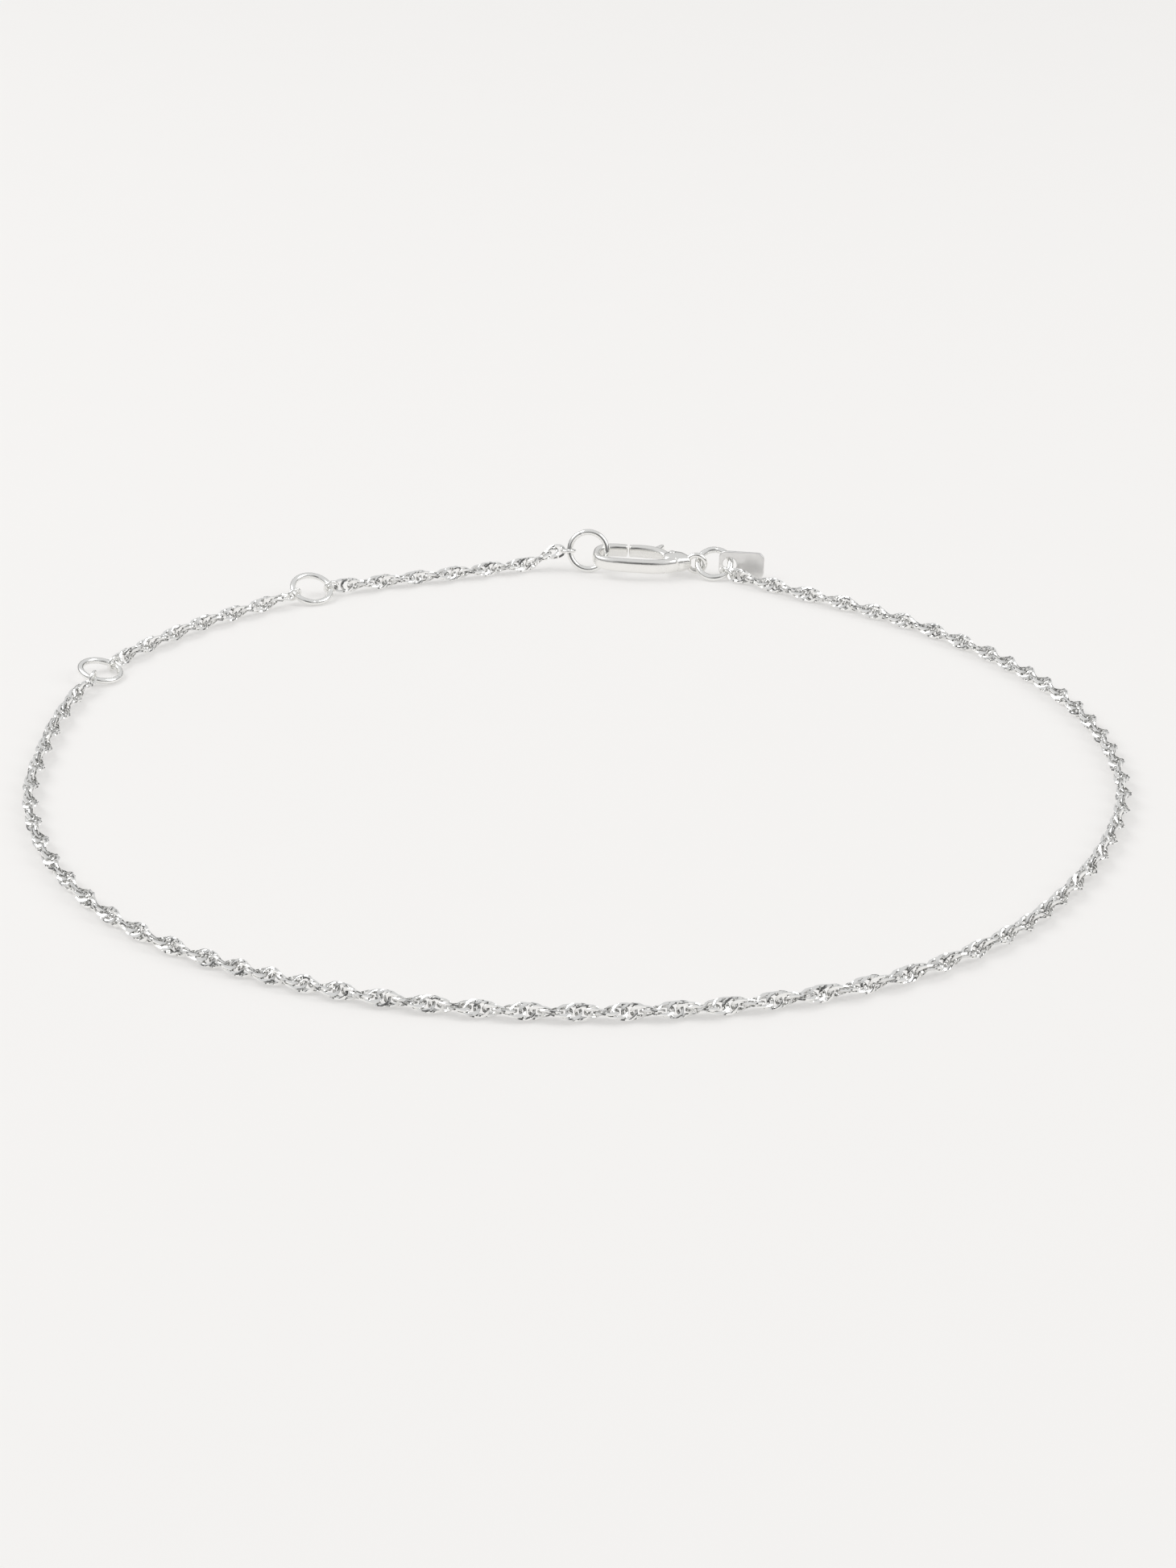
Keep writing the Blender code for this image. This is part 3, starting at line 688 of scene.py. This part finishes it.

# %% [markdown]
# ## The route of each chain
# A chain follows the smooth curve that its solid follows. The curve passes through a few given
# points: each is a bearing in degrees, and a distance from the loop's middle as a share of the
# loop's radius. The places of the end links say where each run starts and ends, and near them the
# chain comes down to the surface.

# %% Routes
LOOP_RADIUS = 44.0
LOOP_ROUTE = np.array([
    (88.7, 0.9745), (96.0, 0.9750), (105.5, 0.9523), (114.5, 0.9591), (124.0, 0.9795),
    (132.0, 0.9818), (140.0, 0.9932), (149.0, 1.0045), (156.8, 1.0136), (166.0, 1.0000),
    (176.0, 0.9909), (190.0, 1.0023), (203.5, 1.0114), (215.5, 1.0182), (225.0, 1.0182),
    (233.5, 1.0091), (242.5, 1.0000), (252.0, 0.9955), (261.5, 0.9932), (270.0, 0.9932),
    (279.0, 0.9977), (287.5, 1.0045), (297.0, 1.0159), (306.5, 1.0205), (316.0, 1.0182),
    (325.0, 1.0091), (336.5, 1.0023), (350.0, 1.0000), (364.0, 0.9841), (377.0, 0.9659),
    (389.0, 0.9455), (399.5, 0.9318), (408.0, 0.9250), (415.0, 0.9250), (421.0, 0.9295),
])
RING_2_POINT = 4
RING_1_POINT = 8
RISE_LENGTH = 3.2
CHAIN_WIDTH = 1.4
ROUTE_STEPS = 40
STRAIGHT_END = 1.0

bearing = np.radians(LOOP_ROUTE[:, 0])
route_xy = LOOP_RADIUS * LOOP_ROUTE[:, 1:] * np.stack([np.cos(bearing), np.sin(bearing)], axis=1)
route_xy = route_xy + ring_place("end_ring")[0][:2] - route_xy[0]


def ease(share):
    """Smooth step from 0 to 1."""
    share = np.clip(share, 0, 1)
    return share * share * (3 - 2 * share)


def chain_end(link, ring):
    """Where a chain's body starts beyond its end link, the way that it leaves, the link's axis."""
    link_middle, link_axis = ring_place(link)
    ring_middle, ring_axis = ring_place(ring)
    leave = np.cross(link_axis, ring_axis)
    leave *= np.sign(leave @ (link_middle - ring_middle)) / np.linalg.norm(leave)
    return link_middle + leave * (END_LINK_OUTER / 2 + GAP), leave, link_axis


def chain_path(start_end, finish_end, first, last):
    """Dense points of a run's middle line, with the distance of each along it.

    A straight end is added before the start and after the finish, at distances below zero and
    above the length, so that the end links are met head on.
    """
    (start, leave_start, _), (finish, leave_finish, _) = start_end, finish_end
    flat = smooth_path(np.vstack([start[:2], route_xy[first:last], finish[:2]]), ROUTE_STEPS)
    reach = np.concatenate([[0], np.cumsum(np.linalg.norm(np.diff(flat, axis=0), axis=1))])
    rest = CHAIN_WIDTH / 2
    z = (rest + max(0, start[2] - rest) * ease(1 - reach / RISE_LENGTH)
         + max(0, finish[2] - rest) * ease(1 - (reach[-1] - reach) / RISE_LENGTH))
    line = np.column_stack([flat, z])
    before = line[0] - STRAIGHT_END * leave_start
    after = line[-1] - STRAIGHT_END * leave_finish
    distances = np.concatenate([[-STRAIGHT_END], reach, [reach[-1] + STRAIGHT_END]])
    return np.vstack([before, line, after]), distances


RUNS = {
    "chain_main": (chain_end("end_link_main_ring", "extender_ring_1"),
                   chain_end("end_link_main_clasp", "jump_ring"), RING_1_POINT + 1, len(LOOP_ROUTE)),
    "chain_extender_a": (chain_end("end_link_a_end", "extender_ring_2"),
                         chain_end("end_link_a_start", "extender_ring_1"), RING_2_POINT + 1, RING_1_POINT),
    "chain_extender_b": (chain_end("end_link_b_end", "end_ring"),
                         chain_end("end_link_b_start", "extender_ring_2"), 1, RING_2_POINT),
}
for run_name, run in RUNS.items():
    print(run_name, round(chain_path(*run)[1][-1] - STRAIGHT_END, 2), "mm long")

# %% [markdown]
# ## Twisted curb links
# Each link of this chain passes through its two neighbours on both sides, which makes a dense
# flat band, and the band is then twisted. A link is an oval of wire that is bent into a saddle,
# so that the next one can lie across it. Seen from the side, wide lobes follow narrow waists,
# one for each half turn. The wire is cut flat where the band is widest, which gives the chain
# its small sparkling faces. There are hundreds of links, so each one has only a few dozen faces.
# The length and the breadth below are half of the oval's, and the face and the edge lie that far
# from the link's middle, through and across the band. HAND is the sign of the twist.

# %% Make the chains
LINK_PITCH = 0.65
LINK_HALF_LENGTH = 0.814
LINK_HALF_BREADTH = 0.545
LINK_SADDLE = 0.304
LINK_BLUNT = 0.87
LINK_WIRE = 0.26
LINK_FACE = 0.25
LINK_FLATTEN = 0.74
LINK_EDGE = 0.68
LINK_TURNS = 16
LINK_ROCK = 3.0
LINK_SWING = 1.5
# Painted shade between the wires starts inside this share of the way out to the faces and edges, and is
# full this much further in
SHADE_START = 0.75
SHADE_FADE = 0.5
LINK_SIDES = 6
LINK_FINE_STEPS = 720
LINK_CRISP_ANGLE = 35
LOOK_AHEAD = 0.3
HAND = 1

# The lobes in the photo, counted: (distance along the run, half turns so far)
TWIST = {
    "chain_main": [(0, 0), (46.2, 13), (56.6, 16), (67.4, 20), (81.2, 24), (95.3, 28), (109.4, 32),
                   (119.2, 35), (126.9, 38), (152.7, 47), (166.8, 52), (177.2, 56), (187.4, 59),
                   (193.9, 61), (205.8, 64.6)],
    "chain_extender_a": [(0, 0), (19.8, 6)],
    "chain_extender_b": [(0, 0), (21.2, 6)],
}


def points_at(s, reach, line):
    """Points of a line at distances s, where reach holds the distance of each of its points."""
    return np.stack([np.interp(s, reach, line[:, k]) for k in range(3)], axis=-1)


def unit(ways):
    """Directions made one long."""
    return ways / np.linalg.norm(ways, axis=-1, keepdims=True)


def path_frames(line, reach, s):
    """Point, side and up directions of a path at distances s. The side direction is level."""
    forward = unit(points_at(s + LOOK_AHEAD, reach, line) - points_at(s - LOOK_AHEAD, reach, line))
    side = unit(np.cross([0, 0, 1], forward))
    return points_at(s, reach, line), side, np.cross(forward, side)


def facing_angle(side, up):
    """The turn at which the band's breadth lies square to the camera's line of sight."""
    return np.arctan2(-(side @ VIEW_DIRECTION), up @ VIEW_DIRECTION)


def band_turn(name, line, reach, link_axes, s):
    """The band's turn about the path at distances s.

    The turn that faces the camera, plus half a turn for each lobe counted so far. At both ends
    the count is shifted a little, so that the last link stands square to the end link.
    """
    marks, counts = (np.array(column, float) for column in zip(*TWIST[name]))
    for end, axis in ((0, link_axes[0]), (-1, link_axes[1])):
        _, side, up = path_frames(line, reach, marks[end])
        wanted = np.arctan2(axis @ up, axis @ side) - facing_angle(side, up)
        off = HAND * wanted / np.pi - counts[end]
        counts[end] += off - np.round(off)
    _, side, up = path_frames(line, reach, s)
    return facing_angle(side, up) + HAND * np.pi * np.interp(s, marks, counts)


def saddle_link():
    """One link's wire as offsets along, across and through the band.

    Its middle line is (a cos t, b sin t, -h c sin 2t), where h is the twist's hand. The cosine is
    raised to a power under one, which makes the ends blunt. A six-sided wire is carried round it
    and flattened a little through the band. Then what stands past the two faces and the two edges
    of the band is pushed back to them.
    """
    t = np.linspace(0, 2 * np.pi, LINK_FINE_STEPS, endpoint=False)
    middle = np.stack([LINK_HALF_LENGTH * bent(np.cos(t), LINK_BLUNT),
                       LINK_HALF_BREADTH * np.sin(t), -HAND * LINK_SADDLE * np.sin(2 * t)], axis=1)
    ahead = np.roll(middle, -1, axis=0) - middle
    reach = np.concatenate([[0], np.cumsum(np.linalg.norm(ahead, axis=1))])
    marks = (np.arange(LINK_TURNS) + 0.5) / LINK_TURNS * reach[-1]
    closed = np.vstack([middle, middle[:1]])
    middle = points_at(marks, reach, closed)
    forward = unit(np.roll(middle, -1, axis=0) - np.roll(middle, 1, axis=0))
    outwards = unit(np.cross(forward, [0, 0, 1]))
    upwards = np.cross(outwards, forward)
    v = ((np.arange(LINK_SIDES) + 0.5) * 2 * np.pi / LINK_SIDES)[None, :, None]
    wire = np.cos(v) * outwards[:, None] + np.sin(v) * upwards[:, None]
    points = (middle[:, None] + LINK_WIRE / 2 * wire).reshape(-1, 3) * (1, 1, LINK_FLATTEN)
    limit = np.array([np.inf, LINK_EDGE, LINK_FACE])
    return np.clip(points, -limit, limit)


def make_chain(name):
    """Place a link at each pitch along the run, and twist its points with the band.

    Links never lie quite alike, so each one also rocks about the run and swings along it a little.
    Each point also keeps its share of painted shade: none at the band's faces and edges, all deep inside.
    """
    start_end, finish_end, _, _ = RUNS[name]
    line, reach = chain_path(*RUNS[name])
    first = -GAP - END_LINK_WIRE - LINK_WIRE / 2 + LINK_HALF_LENGTH
    last = reach[-1] - STRAIGHT_END - first
    count = round((last - first) / LINK_PITCH) + 1
    centres = np.linspace(first, last, count)
    link = saddle_link()
    loose = np.random.default_rng(count).uniform(-1, 1, (2, count, 1))
    rock, swing = loose * np.radians([LINK_ROCK, LINK_SWING])[:, None, None]
    along = link[:, 0] * np.cos(swing) - link[:, 2] * np.sin(swing)
    above = (link[:, 0] * np.sin(swing) + link[:, 2] * np.cos(swing))[..., None]
    s = centres[:, None] + along
    point, side, up = path_frames(line, reach, s)
    turn = (band_turn(name, line, reach, (start_end[2], finish_end[2]), s) + rock)[..., None]
    across = np.cos(turn) * side + np.sin(turn) * up
    through = -np.sin(turn) * side + np.cos(turn) * up
    points = point + link[None, :, 1:2] * across + above * through
    one = grid_quads(LINK_TURNS, LINK_SIDES, True)
    quads = (one[None] + len(link) * np.arange(count)[:, None, None]).reshape(-1, 4).tolist()
    print(name, count, "links", round((last - first) / (count - 1), 4), "mm apart")
    made = piece(name + "_links", points, quads, CHAIN_SILVER, name,
                 sharp=LINK_CRISP_ANGLE)
    # Painted shade deep between the wires: none at the band's faces and edges, rising inwards, kept on
    # each point
    outermost = np.maximum(np.abs(link[:, 1]) / LINK_EDGE, np.abs(link[:, 2]) / LINK_FACE)
    painted_shade = np.clip((SHADE_START - outermost) / SHADE_FADE, 0, 1)
    stored = made.data.attributes.new(PAINTED_SHADE, "FLOAT", "POINT")
    stored.data.foreach_set("value", np.tile(painted_shade, count))


for chain_name in RUNS:
    make_chain(chain_name)

# %% [markdown]
# ## The floor and the light
# The photo was taken on a white surface under soft light from all sides. Polished metal shows its
# room, so the room needs something to show: it is bright overhead, darker near the horizon, and
# darkest round the camera, where the photographer stands. Crisp changes from bright to dark make
# the small faces of the links sparkle. Two soft lamps add the brightest streaks. A part of the
# floor's brightness is its own glow, which stands for the light that white walls throw into the
# shadows, so they stay as faint as in the photo.

# %% Floor and room
FLOOR_SIZE = 20000.0
FLOOR_COLOURS = ((0.440, 0.432, 0.424), (0.443, 0.435, 0.427))
FLOOR_ROUGHNESS = 0.8
GLOW_COLOURS = ((0.905, 0.895, 0.881), (0.910, 0.900, 0.886))
GLOW_STRENGTH = 0.48
FLOOR_GRAIN = 8.0

side = FLOOR_SIZE / 2 * MM
corners = [(-side, -side, 0), (side, -side, 0), (side, side, 0), (-side, side, 0)]
floor_mesh = bpy.data.meshes.new("floor")
floor_mesh.from_pydata(corners, [], [(0, 1, 2, 3)])
floor = bpy.data.objects.new("floor", floor_mesh)
bpy.context.collection.objects.link(floor)
paper = Finish("white_surface")
shade = paper.noise(FLOOR_GRAIN, detail=3.0)
floor_mesh.materials.append(paper.surface(
    Base_Color=paper.mix(shade, *FLOOR_COLOURS), Roughness=FLOOR_ROUGHNESS,
    Emission_Color=paper.mix(shade, *GLOW_COLOURS), Emission_Strength=GLOW_STRENGTH))

# Rows of (value, grey): the height runs from level to straight up, and the other value is one
# straight behind the camera
BY_HEIGHT = [(0.0, 0.06), (0.15, 0.20), (0.30, 0.85), (0.45, 1.0)]
TOWARDS_CAMERA = [(0.0, 1.0), (0.93, 1.0), (0.975, 0.30), (1.0, 0.12)]
ROOM_STRENGTH = 0.70

bpy.context.scene.view_settings.view_transform = "Standard"
room = bpy.data.worlds.new("soft_room")
room.use_nodes = True
bpy.context.scene.world = room
sky = Network(room.node_tree)
looking = sky.node("ShaderNodeTexCoord", output="Generated")
height = sky.node("ShaderNodeSeparateXYZ", values={"Vector": looking}, output="Z")
to_camera = sky.node("ShaderNodeVectorMath", {"operation": "DOT_PRODUCT"},
                     {0: looking, 1: tuple(-VIEW_DIRECTION)}, output="Value")


def stops(value, rows):
    """A grey that changes with a value through rows of (value, grey)."""
    ramp = sky.tree.nodes.new("ShaderNodeValToRGB")
    sky.tree.links.new(value.socket, ramp.inputs["Fac"])
    points = ramp.color_ramp.elements
    while len(points) < len(rows):
        points.new(0.5)
    for point, (place, grey) in zip(points, rows):
        point.position = place
        point.color = (grey, grey, grey, 1)
    return Value(sky, ramp.outputs["Color"])


brightness = stops(height, BY_HEIGHT) * stops(to_camera, TOWARDS_CAMERA)
sky.fill(sky.tree.nodes["Background"], {"Color": brightness, "Strength": ROOM_STRENGTH})


# %% Lamps
# Place and size in millimetres, and power in watts
LAMPS = {
    "lamp_left": ((-500, 100, 600), (500, 500), 2.4),
    "lamp_right": ((550, -50, 450), (300, 500), 1.2),
}


def lamp(name, place, size, power):
    """A square soft lamp that points at the loop's middle."""
    light = bpy.data.lights.new(name, "AREA")
    light.shape = "RECTANGLE"
    light.size, light.size_y = size[0] * MM, size[1] * MM
    light.energy = power
    made = bpy.data.objects.new(name, light)
    made.location = np.array(place) * MM
    made.rotation_euler = (-made.location).to_track_quat("-Z", "Y").to_euler()
    bpy.context.collection.objects.link(made)


for lamp_name, setting in LAMPS.items():
    lamp(lamp_name, *setting)
print(len(LAMPS), "lamps placed")
